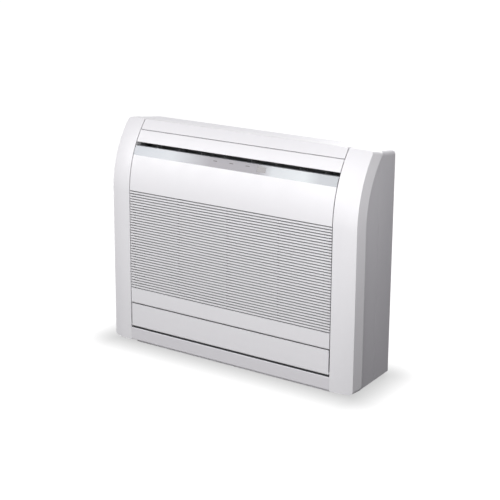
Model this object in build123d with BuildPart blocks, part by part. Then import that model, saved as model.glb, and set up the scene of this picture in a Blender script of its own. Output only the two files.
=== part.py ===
from build123d import *
import os
from math import acos, asin, cos, degrees, radians, sin, sqrt

# Floor console air conditioner, indoor unit. Millimetres, +Z up.
# X runs along the width, the front faces -Y, the wall side faces +Y, the floor is z = 0.

# Overall size
WIDTH = 740.0
DEPTH = 200.0
HEIGHT = 600.0
FRONT = -DEPTH / 2
BACK = DEPTH / 2

# Front profile: an upright wall that turns into an arc
ARC_START = 418.0
ARC_R = 266.0
ARC_Y = FRONT + ARC_R
TOP_FALL = 0.155
WALL = 2.5

# Heights of the seams across the middle, measured on the skin
BODY_BOTTOM = 9.0
PANEL_BOTTOM = 10.0
PANEL_TOP = 45.2
FLAP_BOTTOM = 48.5
FLAP_TOP = 112.7
GRILLE_BOTTOM = 114.5
STRIP_BOTTOM = 514.5
STRIP_TOP = 537.5
LOUVRE_BOTTOM = 547.0
LOUVRE_TOP = 576.2
RAIL_BOTTOM = 576.7

# Widths, as half widths from the centre plane
SKIN_X = 300.2
FLAP_X = 299.2
SEAM_X = 302.5
BODY_X = 361.0
FACE_EDGE_X = 362.0
WING_X = WIDTH / 2

# Side covers: how far the face falls back, and how deep the bevel and the cap are
FACE_FALL = 9.0
BEVEL_DEPTH = 38.0
CAP_DEPTH = 40.0
TOP_CORNER_R = 17.0
TOP_FACE_CORNER_R = 12.0
FOOT_CORNER_R = 14.0
FOOT_FACE_CORNER_R = 7.0
CORNER_TILT = 40.0
HEM_R = 2.8

# Body split between the front housing and the rear base
SPLIT_Y = 18.0
SPLIT_GAP = 0.7
REAR_WALL = 3.0
BODY_EDGE_R = 15.0

REAR_EDGE_R = 6.0

# Holes in the back wall
WALL_HOLE_DX = 440.0
WALL_HOLE_DZ = 300.0
WALL_HOLE_Z = 330.0
WALL_HOLE_R = 3.0
PIPE_HOLE_X = -333.0
PIPE_HOLE_Z = 78.0
PIPE_HOLE_R = 23.0
CABLE_X = 326.0
CABLE_Z = 60.0
CABLE_W = 26.0
CABLE_H = 14.0

# Passage in the floor of the left compartment, for the lines and the drain hose
PASSAGE_X = (-350.0, -308.5)
PASSAGE_Y = (-46.0, 60.0)

# Intake grille
SLOT_COUNT = 38
SLOT_LOW = 158.0
SLOT_HIGH = 421.5
SLOT_PITCH = (SLOT_HIGH - SLOT_LOW) / (SLOT_COUNT - 1)
SLOT_HEIGHT = 2.8
RIB = 1.2
RIB_DEPTH = 9.0
RIB_STEP = 150.0
END_RIB = 8.0

# Display strip
STRIP_THICK = 1.5
RECEIVER_X = 89.0
RECEIVER_W = 25.0
RECEIVER_LOW = 520.2
RECEIVER_HIGH = 532.4
LAMP_X = (-48.0, 0.0, 48.0)
LAMP_Z = 529.7
LAMP_W = 12.0
LAMP_H = 2.4
FLANGE = 10.0

# Base tray
FOOT_FRONT = -84.0
FOOT_BACK = 86.0
FOOT_X = 298.0

# Hinges
GRILLE_BEAD_R = 4.0
FLAP_BEAD_R = 4.0
LOUVRE_BEAD_R = 3.5
PIN_R = 1.5
PIN_CLEARANCE = 0.06

# Inner frame behind the grille
FRAME_N = 18.0
FRAME_X = 302.0
FRAME_TOP = 536.0
FRAME_FRONT = FRONT + FRAME_N
WINDOW_X = 264.0
WINDOW_LOW = 154.0
WINDOW_HIGH = 416.0
MULLION = 10.0

# Heat exchanger and drain
COIL_X = 268.0
COIL_FRONT = -62.0
COIL_BACK = -32.0
COIL_LOW = 152.0
COIL_HIGH = 452.0
TUBE_ROWS = 12
TUBE_R = 3.5
COIL_MID = (COIL_FRONT + COIL_BACK) / 2
END_SHEET = 1.2
GAS_R = 4.8
LIQUID_R = 3.2
HEADER_X = -292.0
GAS_CROSS_Z = 236.0
UNION_X = -332.0
GAS_UNION_Y = 44.0
LIQUID_UNION_Y = 16.0
UNION_TOP = 150.0
UNION_HEX = 9.0
UNION_THREAD = 14.0
GAS_THREAD_R = 7.9
LIQUID_THREAD_R = 5.5
PAN_X = 297.0
PAN_FRONT = -72.0
PAN_BACK = -16.0
PAN_DEPTH = 20.0
PAN_FLOOR = 130.0
SPIGOT_X = -324.0
SPIGOT_Y = -29.5
SPIGOT_R = 9.0
SPIGOT_BORE = 7.0
SPIGOT_LENGTH = 30.0

# Chassis end plates
PLATE_X = 306.0
PLATE = 1.5
PLATE_TOP_SKIN = 590.0
BEARING_R = 11.0
PIPE_SLOT_Y = -30.0
PIPE_SLOT_Z = 198.0
PIPE_SLOT_W = 50.0
PIPE_SLOT_H = 140.0

# Sheet of the air ducts
DUCT = 3.0
DUCT_HALF = FRAME_X - WALL

# Cross-flow fans
UPPER_FAN = (28.0, 503.0)
LOWER_FAN = (30.0, 98.0)
UPPER_FAN_R = 45.0
LOWER_FAN_R = 40.0
FAN_X = 297.0
BLADES = 20
DISC = 2.0
SHAFT_R = 4.0
STUB = 14.0
BLADE = 12.0
BLADE_LEAN = 3.0
MOTOR_LENGTH = 38.0

# Upper outlet vanes
VANE_X = (40.0, 110.0, 180.0, 250.0)
VANE_CHORD = 34.0
VANE_THICK = 1.6
VANE_LOW = 5.0
VANE_HIGH = 54.0
VANE_TOP_PIN = 62.5
PIVOT_BOSS_R = 2.4
LINK_ARM = 12.0
LINK_PIN_R = 1.3
LINK_GAP = 0.6
LINK_THICK = 1.6
LINK_WIDTH = 5.0

# Filters, electrical parts and controls
BOX_X0 = PLATE_X + PLATE
PANEL_FACE = FRAME_FRONT - 4.0
FILTER_W = 270.0
FILTER_LOW = 146.0
FILTER_HIGH = 424.0
FILTER_THICK = 3.4
FILTER_CELL_X = 88.0
FILTER_CELL_Z = 67.5
BOX_FRONT = -40.0
BOX_BACK = 80.0
BOX_LOW = 200.0
BOX_HIGH = 400.0
BOX_DEPTH = 40.0
TERMINAL_Y = 20.0
TERMINAL_Z = 160.0
CONTROL_X = 286.0
BUTTON_Z = 392.0
BUTTON_R = 4.0
SWITCH_Z = 352.0
STEPPER_R = 12.0
STEPPER_LENGTH = 16.0
STEPPER_DEPTH = 19.0

os.makedirs("parts", exist_ok=True)


TOP_EDGE_Y = ARC_Y - sqrt(ARC_R**2 - (HEIGHT - ARC_START) ** 2)

# Hinge lines, (Y, Z)
GRILLE_PIVOT = (FRONT + GRILLE_BEAD_R, GRILLE_BOTTOM + GRILLE_BEAD_R)
FLAP_PIVOT = (FRONT + FLAP_BEAD_R, FLAP_BOTTOM + FLAP_BEAD_R)
LOUVRE_PIVOT_TURN = asin((LOUVRE_TOP - ARC_START) / ARC_R) - LOUVRE_BEAD_R / ARC_R
LOUVRE_PIVOT_SKIN = ARC_START + ARC_R * sin(LOUVRE_PIVOT_TURN)
LOUVRE_PIVOT = (
    ARC_Y - (ARC_R - LOUVRE_BEAD_R) * cos(LOUVRE_PIVOT_TURN),
    ARC_START + (ARC_R - LOUVRE_BEAD_R) * sin(LOUVRE_PIVOT_TURN),
)


def save(part, name):
    part.label = name
    export_step(part, f"parts/{name}.step")


def skin_angle(z):
    """Angle of the skin's normal above the horizontal, in degrees, at skin height z."""
    return degrees(asin(max(0.0, z - ARC_START) / ARC_R))


def skin_point(z, inward):
    """(Y, Z) of a point a given depth behind the skin, measured square to the skin at height z."""
    if z <= ARC_START:
        return (FRONT + inward, z)
    turn = radians(skin_angle(z))
    return (ARC_Y - (ARC_R - inward) * cos(turn), ARC_START + (ARC_R - inward) * sin(turn))


def top_z(y):
    """Height of the top face, which falls gently towards the wall."""
    front_edge = ARC_Y - sqrt(ARC_R**2 - (HEIGHT - ARC_START) ** 2)
    return HEIGHT - TOP_FALL * (y - front_edge)


def skin_edge(low, high, inward):
    """Line and arc that follow the skin at one depth, drawn from low to high in the active BuildLine."""
    if low < ARC_START:
        Line(skin_point(low, inward), skin_point(min(high, ARC_START), inward))
    if high > ARC_START:
        start = max(low, ARC_START)
        middle_angle = radians((skin_angle(start) + skin_angle(high)) / 2)
        middle = ARC_START + ARC_R * sin(middle_angle)
        ThreePointArc(skin_point(start, inward), skin_point(middle, inward), skin_point(high, inward))


def skin_plate(low, high, outer, inner, x0, x1):
    """Plate that follows the skin between two depths and two places along the width."""
    with BuildPart() as plate:
        with BuildSketch(Plane.YZ.offset(x0)):
            with BuildLine():
                skin_edge(low, high, outer)
                skin_edge(low, high, inner)
                Line(skin_point(low, outer), skin_point(low, inner))
                Line(skin_point(high, outer), skin_point(high, inner))
            make_face()
        extrude(amount=x1 - x0)
    return plate.part


def cross_section(points, half_width):
    """Solid with one closed YZ outline, centred on the width."""
    with BuildPart() as solid:
        with BuildSketch(Plane.YZ.offset(-half_width)):
            with BuildLine():
                Polyline(*points, close=True)
            make_face()
        extrude(amount=2 * half_width)
    return solid.part


def bar(x0, x1, y0, y1, z0, z1):
    """Plain block between two corners."""
    with BuildPart() as block:
        with BuildSketch(Plane.XY.offset(z0)):
            with Locations(((x0 + x1) / 2, (y0 + y1) / 2)):
                Rectangle(x1 - x0, y1 - y0)
        extrude(amount=z1 - z0)
    return block.part


def rod(y, z, radius, x0, x1):
    """Round bar along X."""
    with BuildPart() as round_bar:
        with BuildSketch(Plane.YZ.offset(x0)):
            with Locations((y, z)):
                Circle(radius)
        extrude(amount=x1 - x0)
    return round_bar.part


def stud_square_to_skin(z, x, width, height, outer, inner):
    """Stud with round ends square to the skin at height z, between two depths."""
    y0, z0 = skin_point(z, outer)
    turn = radians(skin_angle(z))
    with BuildPart() as stud:
        with BuildSketch(Plane(origin=(x, y0, z0), x_dir=(1, 0, 0), z_dir=(0, cos(turn), -sin(turn)))):
            RectangleRounded(width, height, height / 2 - 0.01)
        extrude(amount=inner - outer)
    return stud.part


def wall_run(points, half_width, thickness=3.0):
    """Sheet bent along straight runs in the YZ plane, as wide as the duct."""
    with BuildPart() as run:
        with BuildSketch(Plane.YZ.offset(-half_width)):
            with BuildLine() as route:
                Polyline(*points)
            trace(route.line, line_width=thickness)
        extrude(amount=2 * half_width)
    return run.part


def swept_outline(points, bottom):
    """Closed plan outline carried up the front profile: an extrusion below, a revolve above."""
    level = Plane.XY.offset(ARC_START)
    with BuildPart() as swept:
        with BuildSketch(level):
            with BuildLine():
                Polyline(*points, close=True)
            make_face()
        extrude(amount=bottom - ARC_START)
        with BuildSketch(level):
            with BuildLine():
                Polyline(*points, close=True)
            make_face()
        revolve(axis=Axis((0, ARC_Y, ARC_START), (-1, 0, 0)), revolution_arc=52)
    return swept.part


def swept_section(points, bulge, bottom):
    """Plan section carried up the front profile: an extrusion below, a revolve above."""
    level = Plane.XY.offset(ARC_START)
    with BuildPart() as swept:
        for upward in (False, True):
            with BuildSketch(level):
                with BuildLine():
                    ThreePointArc(points[0], bulge, points[1])
                    Polyline(*points[1:], points[0])
                make_face()
            if upward:
                revolve(axis=Axis((0, ARC_Y, ARC_START), (-1, 0, 0)), revolution_arc=52)
            else:
                extrude(amount=bottom - ARC_START)
    return swept.part


# Side covers

def corner_block(plane, near, far):
    """Loft between two outlines with one rounded corner; each outline is (depth, x, end, radius)."""
    reach = 60.0
    with BuildPart() as block:
        for depth, edge_x, end, radius in (near, far):
            with BuildSketch(plane.offset(-depth)) as outline:
                with Locations((edge_x - reach, end - reach)):
                    Rectangle(2 * reach, 2 * reach)
                fillet(outline.vertices().group_by(Axis.X)[-1].sort_by(Axis.Y)[-1], radius)
        loft(ruled=True)
    return block.part


def corner_trim(plane, near, far, start):
    """What is cut away beyond one rounded outer corner of a cover."""
    keep = corner_block(plane, near, far)
    with BuildPart() as trim:
        with BuildSketch(plane.offset(-near[0])):
            with Locations((WING_X, start + 40.0)):
                Rectangle(70.0, 80.0)
        extrude(amount=near[0] - far[0])
        add(keep, mode=Mode.SUBTRACT)
    return trim.part


def cover_form(section, bulge, inset):
    """Right cover's outer form, or its hollow: a section swept up the profile, with rounded corners."""
    spread = (WING_X - FACE_EDGE_X) / (BEVEL_DEPTH - FACE_FALL)
    swept = swept_section([(x, FRONT + depth) for x, depth in section], (bulge[0], FRONT + bulge[1]),
                          BODY_BOTTOM + inset)

    tilt = radians(CORNER_TILT)
    corner_y = ARC_Y - ARC_R * cos(tilt)
    corner_z = ARC_START + ARC_R * sin(tilt)
    upper = Plane(origin=(0, corner_y, corner_z), x_dir=(1, 0, 0), z_dir=(0, -cos(tilt), sin(tilt)))
    lower = Plane(origin=(0, FRONT, BODY_BOTTOM + inset), x_dir=(1, 0, 0), z_dir=(0, -1, 0))

    def upper_end(depth):
        """Where the top face cuts the tilted plane at this depth."""
        run = TOP_FALL * cos(tilt) + sin(tilt)
        rise = cos(tilt) + TOP_FALL * sin(tilt)
        return (top_z(corner_y) - inset - corner_z + depth * (sin(tilt) - TOP_FALL * cos(tilt))) / rise

    def edge_x(depth):
        return min(WING_X, FACE_EDGE_X + spread * (depth - FACE_FALL)) - inset

    def corner_r(depth):
        grow = (TOP_CORNER_R - TOP_FACE_CORNER_R) / (BEVEL_DEPTH - FACE_FALL)
        return min(TOP_CORNER_R, TOP_FACE_CORNER_R + grow * (depth - FACE_FALL)) - inset

    def foot_corner_r(depth):
        return (FOOT_FACE_CORNER_R if depth < FACE_FALL else FOOT_CORNER_R) - inset

    trims = []
    for near, far in ((-15.0, BEVEL_DEPTH), (BEVEL_DEPTH, BEVEL_DEPTH + 40.0)):
        outlines = [(depth, edge_x(depth), upper_end(depth), corner_r(depth)) for depth in (near, far)]
        trims.append(corner_trim(upper, *outlines, outlines[0][2] - 25.0))
    for near, far in ((5.0, BEVEL_DEPTH), (BEVEL_DEPTH, BEVEL_DEPTH + 12.0)):
        outlines = [(depth, edge_x(depth), 0.0, foot_corner_r(depth)) for depth in (near, far)]
        trim = corner_trim(lower, *outlines, -30.0)
        trims.append(mirror(trim, about=Plane.XY.offset(BODY_BOTTOM + inset)))

    rear = SPLIT_Y - SPLIT_GAP if inset == 0 else SPLIT_Y + WALL
    with BuildPart() as form:
        add(swept)
        with BuildSketch(Plane.YZ.offset(SEAM_X)):
            with BuildLine():
                Polyline(
                    (FRONT, BODY_BOTTOM),
                    (rear, BODY_BOTTOM),
                    (rear, top_z(rear) - inset),
                    (FRONT, top_z(FRONT) - inset),
                    close=True,
                )
            make_face()
        extrude(amount=WING_X - SEAM_X, mode=Mode.INTERSECT)
        for trim in trims:
            add(trim, mode=Mode.SUBTRACT)
    return form.part


COVER_OUTSIDE = [
    (SEAM_X, 0.0),
    (FACE_EDGE_X, FACE_FALL),
    (WING_X, BEVEL_DEPTH),
    (WING_X, CAP_DEPTH),
    (SEAM_X, CAP_DEPTH),
]
COVER_INSIDE = [
    (SEAM_X + WALL, WALL),
    (FACE_EDGE_X - 1.8, FACE_FALL + 2.3),
    (WING_X - 2.6, CAP_DEPTH - WALL),
    (BODY_X + 0.1, CAP_DEPTH - WALL),
    (BODY_X + 0.1, CAP_DEPTH + 3.0),
    (SEAM_X + WALL, CAP_DEPTH + 3.0),
]
cover_outside = cover_form(COVER_OUTSIDE, (336.0, 2.6), 0.0)
cover_inside = cover_form(COVER_INSIDE, (336.0, 5.0), WALL)
side_gap = SPLIT_Y - SPLIT_GAP
body_top = top_z(SPLIT_Y)
with BuildPart() as body_outline:
    with BuildSketch(Plane.XZ.offset(-SPLIT_Y)) as outline:
        with Locations((0, body_top / 2)):
            Rectangle(2 * BODY_X, body_top)
        fillet(outline.vertices().group_by(Axis.Y)[-1], BODY_EDGE_R)
    extrude(amount=DEPTH)
with BuildPart() as right_side_cover:
    add(cover_outside)
    add(cover_inside, mode=Mode.SUBTRACT)
    with BuildSketch(Plane.YZ.offset(SEAM_X)):
        with Locations(GRILLE_PIVOT, FLAP_PIVOT, LOUVRE_PIVOT):
            Circle(PIN_R + PIN_CLEARANCE)
    extrude(amount=WALL, mode=Mode.SUBTRACT)
save(right_side_cover.part, "right_side_cover")
left_side_cover = mirror(right_side_cover.part, about=Plane.YZ)
save(left_side_cover, "left_side_cover")


# Middle skins between the covers

def skin_leaf(low, high, half_width, ribs_at, rib_depth):
    """Moulded leaf that follows the skin, with stiffening ribs behind it."""
    face = skin_plate(low, high, 0, WALL, -half_width, half_width)
    ribs = [skin_plate(low + 1.0, high - 1.0, WALL, rib_depth, x - RIB / 2, x + RIB / 2) for x in ribs_at]
    with BuildPart() as leaf:
        add(face)
        for rib in ribs:
            add(rib)
    return leaf.part


def hinge_bead(pivot, bead_r, half_width):
    """Round hinge bead along the leaf's edge, with a pin at each end."""
    bead = rod(pivot[0], pivot[1], bead_r, -half_width, half_width)
    pins = rod(pivot[0], pivot[1], PIN_R, -SEAM_X - WALL, SEAM_X + WALL)
    return bead + pins


def rib_places(half_width):
    """One rib near each end and the rest at an even step about the centre."""
    count = int((half_width - 10) // RIB_STEP)
    return [END_RIB - half_width, *[RIB_STEP * k for k in range(-count, count + 1)], half_width - END_RIB]


grille_leaf = skin_leaf(GRILLE_PIVOT[1], STRIP_TOP, SKIN_X, rib_places(SKIN_X), RIB_DEPTH)
grille_bead = hinge_bead(GRILLE_PIVOT, GRILLE_BEAD_R, SKIN_X)
slot_levels = [SLOT_LOW + SLOT_PITCH * k for k in range(SLOT_COUNT)]
grille_slots = [
    skin_plate(z - SLOT_HEIGHT / 2, z + SLOT_HEIGHT / 2, -1.0, WALL, -SKIN_X, SKIN_X) for z in slot_levels
]
strip_recess = skin_plate(STRIP_BOTTOM, STRIP_TOP + 1.0, -1.0, STRIP_THICK, -SKIN_X, SKIN_X)
flange_front = skin_point(STRIP_TOP, STRIP_THICK)
flange_root = skin_point(STRIP_TOP - 3.0, STRIP_THICK)
grille_top_flange = cross_section(
    [
        flange_front,
        (flange_front[0] + FLANGE, flange_front[1]),
        (flange_front[0] + FLANGE, flange_front[1] - 2.0),
        (flange_root[0] + 1.0, flange_front[1] - 2.0),
        flange_root,
    ],
    SKIN_X,
)
with BuildPart() as intake_grille:
    add(grille_leaf)
    add(grille_bead)
    add(grille_slots, mode=Mode.SUBTRACT)
    add(strip_recess, mode=Mode.SUBTRACT)
    add(grille_top_flange)
save(intake_grille.part, "intake_grille")

display_band = skin_plate(STRIP_BOTTOM, STRIP_TOP, 0, STRIP_THICK, -SKIN_X, SKIN_X)
receiver_x = (RECEIVER_X - RECEIVER_W / 2, RECEIVER_X + RECEIVER_W / 2)
window_cut = skin_plate(RECEIVER_LOW, RECEIVER_HIGH, -1.0, STRIP_THICK + 1, *receiver_x)
lamp_cuts = [stud_square_to_skin(LAMP_Z, x, LAMP_W, LAMP_H, -1.0, STRIP_THICK + 1) for x in LAMP_X]
with BuildPart() as display_strip:
    add(display_band)
    add(window_cut, mode=Mode.SUBTRACT)
    for lamp in lamp_cuts:
        add(lamp, mode=Mode.SUBTRACT)
save(display_strip.part, "display_strip")

receiver_window = skin_plate(RECEIVER_LOW, RECEIVER_HIGH, 0.2, STRIP_THICK, *receiver_x)
save(receiver_window, "receiver_window")

lens_band = skin_plate(STRIP_BOTTOM, STRIP_TOP, 0.2, STRIP_THICK, -SKIN_X, SKIN_X)
with BuildPart() as indicator_lamps:
    for lamp in lamp_cuts:
        add(lamp)
    add(lens_band, mode=Mode.INTERSECT)
save(indicator_lamps.part, "indicator_lamps")

louvre_leaf = skin_leaf(LOUVRE_BOTTOM, LOUVRE_PIVOT_SKIN, SKIN_X, rib_places(SKIN_X)[::2], 8.0)
with BuildPart() as upper_louvre:
    add(louvre_leaf)
    add(hinge_bead(LOUVRE_PIVOT, LOUVRE_BEAD_R, SKIN_X))
save(upper_louvre.part, "upper_louvre")

flap_leaf = skin_leaf(FLAP_PIVOT[1], FLAP_TOP, FLAP_X, rib_places(FLAP_X)[::2], 8.0)
with BuildPart() as lower_flap:
    add(flap_leaf)
    add(hinge_bead(FLAP_PIVOT, FLAP_BEAD_R, FLAP_X))
save(lower_flap.part, "lower_flap")

with BuildPart() as lower_front_panel:
    with BuildSketch(Plane.YZ.offset(-SEAM_X + 0.2)):
        with BuildLine() as channel:
            FilletPolyline(
                (FRAME_FRONT, PANEL_TOP - WALL / 2),
                (FRONT + WALL / 2, PANEL_TOP - WALL / 2),
                (FRONT + WALL / 2, PANEL_BOTTOM + WALL / 2),
                (FOOT_FRONT + 2.0, PANEL_BOTTOM + WALL / 2),
                radius=HEM_R - WALL / 2,
            )
        trace(channel.line, line_width=WALL)
    extrude(amount=2 * SEAM_X - 0.4)
save(lower_front_panel.part, "lower_front_panel")

rail_front = skin_plate(RAIL_BOTTOM, HEIGHT + 5.0, 0, WALL, -SKIN_X, SKIN_X)
rail_zone = cross_section(
    [(FRONT, LOUVRE_BOTTOM), (side_gap, LOUVRE_BOTTOM), (side_gap, top_z(side_gap)), (FRONT, top_z(FRONT))],
    SKIN_X,
)
rail_top = cross_section(
    [
        (TOP_EDGE_Y, top_z(TOP_EDGE_Y)),
        (side_gap, top_z(side_gap)),
        (side_gap, top_z(side_gap) - WALL),
        (TOP_EDGE_Y + 0.5, top_z(TOP_EDGE_Y) - WALL),
    ],
    SKIN_X,
)
with BuildPart() as top_rail:
    add(rail_front)
    add(rail_zone, mode=Mode.INTERSECT)
    add(rail_top)
save(top_rail.part, "top_rail")


# Front housing: the moulded frame behind the covers and the grille

HAT = [
    (BODY_X, CAP_DEPTH),
    (FRAME_X, CAP_DEPTH),
    (FRAME_X, FRAME_N),
    (-FRAME_X, FRAME_N),
    (-FRAME_X, CAP_DEPTH),
    (-BODY_X, CAP_DEPTH),
    (-BODY_X, CAP_DEPTH + WALL),
    (-FRAME_X + WALL, CAP_DEPTH + WALL),
    (-FRAME_X + WALL, FRAME_N + WALL),
    (FRAME_X - WALL, FRAME_N + WALL),
    (FRAME_X - WALL, CAP_DEPTH + WALL),
    (BODY_X, CAP_DEPTH + WALL),
]
side_top_skin = ARC_START + ARC_R * sin(acos((ARC_Y - side_gap) / (ARC_R - CAP_DEPTH)))
hat_sweep = swept_outline([(x, FRONT + depth) for x, depth in HAT], BODY_BOTTOM)
outlet_low = PANEL_TOP + 2.2
outlet_high = GRILLE_BOTTOM - 2.5
outlet_x = (-FRAME_X + WALL, FRAME_X - WALL)
lower_outlet = bar(*outlet_x, FRONT, -70.0, outlet_low, outlet_high)
upper_outlet = skin_plate(FRAME_TOP, HEIGHT + 40.0, FRAME_N - 1, FRAME_N + WALL + 1, *outlet_x)
with BuildPart() as side_walls:
    with BuildSketch(Plane.YZ.offset(BODY_X - WALL)):
        with BuildLine():
            skin_edge(BODY_BOTTOM, side_top_skin, CAP_DEPTH)
            Polyline(
                skin_point(side_top_skin, CAP_DEPTH),
                (side_gap, BODY_BOTTOM),
                skin_point(BODY_BOTTOM, CAP_DEPTH),
            )
        make_face()
    extrude(amount=WALL)
    mirror(about=Plane.YZ)
    add(body_outline.part, mode=Mode.INTERSECT)
window_rings = []
for side in (-1, 1):
    ring_x = sorted((side * (MULLION / 2 - 3.0), side * (WINDOW_X + 3.0)))
    window_rings.append(bar(*ring_x, FRAME_FRONT, COIL_FRONT, WINDOW_LOW - 3.0, WINDOW_HIGH + 3.0))
roof_cut = cross_section(
    [(FRONT, top_z(FRONT) - WALL), (BACK, top_z(BACK) - WALL), (BACK, HEIGHT + 60.0), (FRONT, HEIGHT + 60.0)],
    WING_X,
)
passage = bar(*PASSAGE_X, *PASSAGE_Y, 0.0, BODY_BOTTOM + REAR_WALL + 1.0)
with BuildPart() as front_housing:
    add(hat_sweep)
    add(side_walls.part)
    add(bar(-BODY_X, BODY_X, FRONT + CAP_DEPTH, side_gap, BODY_BOTTOM, BODY_BOTTOM + WALL))
    for ring in window_rings:
        add(ring)
    with BuildSketch(Plane.XZ.offset(-FRONT)):
        for side in (-1, 1):
            with Locations((side * (MULLION / 2 + WINDOW_X) / 2, (WINDOW_LOW + WINDOW_HIGH) / 2)):
                Rectangle(WINDOW_X - MULLION / 2, WINDOW_HIGH - WINDOW_LOW)
    extrude(amount=-70.0, mode=Mode.SUBTRACT)
    add(lower_outlet, mode=Mode.SUBTRACT)
    add(upper_outlet, mode=Mode.SUBTRACT)
    add(roof_cut, mode=Mode.SUBTRACT)
    add(passage, mode=Mode.SUBTRACT)
    split(bisect_by=Plane.XZ.offset(-side_gap), keep=Keep.TOP)
save(front_housing.part, "front_housing")


# Rear base: the moulded back half of the cabinet

with BuildPart() as rear_base:
    with BuildSketch(Plane.YZ.offset(-BODY_X)):
        with BuildLine():
            Polyline(
                (SPLIT_Y, BODY_BOTTOM),
                (BACK, BODY_BOTTOM),
                (BACK, top_z(BACK)),
                (SPLIT_Y, top_z(SPLIT_Y)),
                close=True,
            )
        make_face()
    extrude(amount=2 * BODY_X)
    top_face = rear_base.faces().sort_by(Axis.Z)[-1]
    fillet(top_face.edges().sort_by(Axis.X)[0], BODY_EDGE_R)
    fillet(rear_base.faces().sort_by(Axis.Z)[-1].edges().sort_by(Axis.X)[-1], BODY_EDGE_R)
    fillet(rear_base.edges().filter_by(Axis.X).group_by(Axis.Y)[-1].sort_by(Axis.Z)[-1], REAR_EDGE_R)
    front_face = rear_base.faces().filter_by(Axis.Y).sort_by(Axis.Y)[0]
    offset(amount=-REAR_WALL, openings=front_face)
    with BuildSketch(Plane.XZ.offset(-BACK)) as wall_holes:
        with Locations((0, WALL_HOLE_Z)):
            with GridLocations(WALL_HOLE_DX, WALL_HOLE_DZ, 2, 2):
                Circle(WALL_HOLE_R)
        with Locations((PIPE_HOLE_X, PIPE_HOLE_Z)):
            Circle(PIPE_HOLE_R)
        with Locations((CABLE_X, CABLE_Z)):
            SlotOverall(CABLE_W, CABLE_H)
    extrude(amount=REAR_WALL, mode=Mode.SUBTRACT)
    add(passage, mode=Mode.SUBTRACT)
save(rear_base.part, "rear_base")

with BuildPart() as base_foot:
    with BuildSketch(Plane.XY) as tray_outline:
        with Locations((0, (FOOT_FRONT + FOOT_BACK) / 2)):
            RectangleRounded(2 * FOOT_X, FOOT_BACK - FOOT_FRONT, 4.0)
    extrude(amount=BODY_BOTTOM)
    offset(amount=-1.5, openings=base_foot.faces().sort_by(Axis.Z)[0])
save(base_foot.part, "base_foot")


# Chassis end plates: they close the fan chambers and carry the bearings and motors

with BuildPart() as right_end_plate:
    with BuildSketch(Plane.YZ.offset(PLATE_X)):
        with BuildLine():
            skin_edge(BODY_BOTTOM + WALL, PLATE_TOP_SKIN, CAP_DEPTH + WALL)
            Polyline(
                skin_point(PLATE_TOP_SKIN, CAP_DEPTH + WALL),
                (BACK - REAR_WALL, skin_point(PLATE_TOP_SKIN, CAP_DEPTH + WALL)[1]),
                (BACK - REAR_WALL, BODY_BOTTOM + REAR_WALL),
                (SPLIT_Y, BODY_BOTTOM + REAR_WALL),
                (SPLIT_Y, BODY_BOTTOM + WALL),
                skin_point(BODY_BOTTOM + WALL, CAP_DEPTH + WALL),
            )
        make_face()
        with Locations(UPPER_FAN, LOWER_FAN):
            Circle(BEARING_R, mode=Mode.SUBTRACT)
        with Locations((PIPE_SLOT_Y, PIPE_SLOT_Z)):
            Rectangle(PIPE_SLOT_W, PIPE_SLOT_H, mode=Mode.SUBTRACT)
    extrude(amount=PLATE)
save(right_end_plate.part, "right_end_plate")
left_end_plate = mirror(right_end_plate.part, about=Plane.YZ)
save(left_end_plate, "left_end_plate")


# Upper fan chamber

def polar(centre, radius, angle):
    """(Y, Z) of a point around a fan; angle 0 points to the wall side, 90 up."""
    return (centre[0] + radius * cos(radians(angle)), centre[1] + radius * sin(radians(angle)))


upper_nose = polar(UPPER_FAN, 51.5, -40)
upper_roof_end = skin_point(581.0, 6.0)
wall_line = BACK - REAR_WALL - DUCT / 2
tongue_tip = (-20.0, 507.5)
tongue_front = skin_point(FRAME_TOP - 1.0, FRAME_N + WALL + DUCT / 2)
tongue_foot = (COIL_BACK + DUCT / 2, COIL_HIGH + DUCT / 2)
tongue_end = (COIL_FRONT, COIL_HIGH + DUCT / 2)

# Vanes: each turns on a pin square to the duct floor, and a bar links each bank
floor_run = sqrt((tongue_front[0] - tongue_tip[0]) ** 2 + (tongue_front[1] - tongue_tip[1]) ** 2)
flow = ((tongue_front[0] - tongue_tip[0]) / floor_run, (tongue_front[1] - tongue_tip[1]) / floor_run)
rise = (flow[1], -flow[0])
vane_foot = ((tongue_front[0] + tongue_tip[0]) / 2, (tongue_front[1] + tongue_tip[1]) / 2)


def vane_plane(x, height):
    """Plane across a vane's pivot: local x along the air flow, normal up the pivot."""
    return Plane(
        origin=(x, vane_foot[0] + rise[0] * height, vane_foot[1] + rise[1] * height),
        x_dir=(0, flow[0], flow[1]),
        z_dir=(0, rise[0], rise[1]),
    )


def vane_form(x):
    """Thin blade with a rounded nose, pivot pins at both ends and the link pin on its upper edge."""
    with BuildPart() as vane:
        with BuildSketch(vane_plane(x, VANE_LOW)):
            SlotOverall(VANE_CHORD, VANE_THICK)
            Circle(PIVOT_BOSS_R)
        extrude(amount=VANE_HIGH - VANE_LOW)
        with BuildSketch(vane_plane(x, -DUCT / 2)):
            Circle(PIN_R)
        extrude(amount=VANE_TOP_PIN + DUCT / 2)
        with BuildSketch(vane_plane(x, VANE_HIGH)):
            with Locations((-LINK_ARM, 0)):
                Circle(LINK_PIN_R)
        extrude(amount=LINK_GAP + LINK_THICK + 0.8)
    return vane.part


def link_form(places):
    """Flat bar with a hole for each vane's link pin."""
    middle = (places[0] + places[-1]) / 2
    length = places[-1] - places[0] + 12.0
    with BuildPart() as link:
        with BuildSketch(vane_plane(middle, VANE_HIGH + LINK_GAP)):
            with Locations((-LINK_ARM, 0)):
                Rectangle(LINK_WIDTH, length)
            with Locations([(-LINK_ARM, (x - middle)) for x in places]):
                Circle(LINK_PIN_R + PIN_CLEARANCE, mode=Mode.SUBTRACT)
        extrude(amount=LINK_THICK)
    return link.part


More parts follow.
